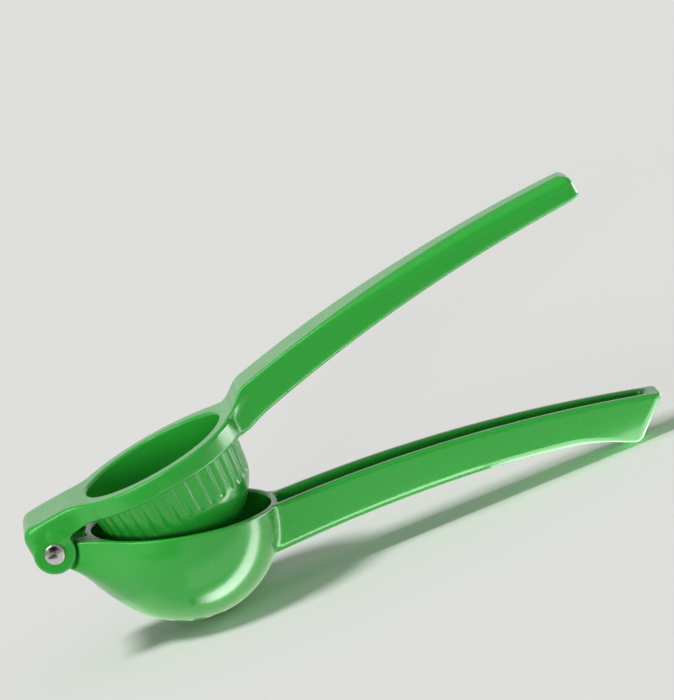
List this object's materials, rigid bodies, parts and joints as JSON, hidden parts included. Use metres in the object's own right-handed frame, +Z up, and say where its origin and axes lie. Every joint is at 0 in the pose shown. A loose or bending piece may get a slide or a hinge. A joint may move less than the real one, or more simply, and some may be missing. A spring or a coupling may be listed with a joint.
{
  "type": "hinged citrus squeezer",
  "caption": "Hand citrus press: an enamelled strainer bowl arm and a fluted ram cup arm that turn on one rivet.",
  "frame": {"origin": "middle of the box around the resting press, at the table", "axes": "+X from the hinge to the end of the handles, +Y along the rivet, +Z up from the table"},
  "size_m": [0.2196, 0.0664, 0.0959],
  "materials": {
    "strainer_enamel": "gloss",
    "ram_enamel": "gloss",
    "rivet_steel": "polished"
  },
  "bodies": {
    "strainer": {"strainer_arm": "strainer_enamel"},
    "ram": {"ram_arm": "ram_enamel", "hinge_rivet": "rivet_steel"}
  },
  "joints": [
    {"name": "hinge", "type": "hinge", "parent": "strainer", "child": "ram", "pos_m": [-0.10071, 0, 0.04324], "axis": [0, -1, 0], "range_deg": [-19.7, 80.3]}
  ]
}
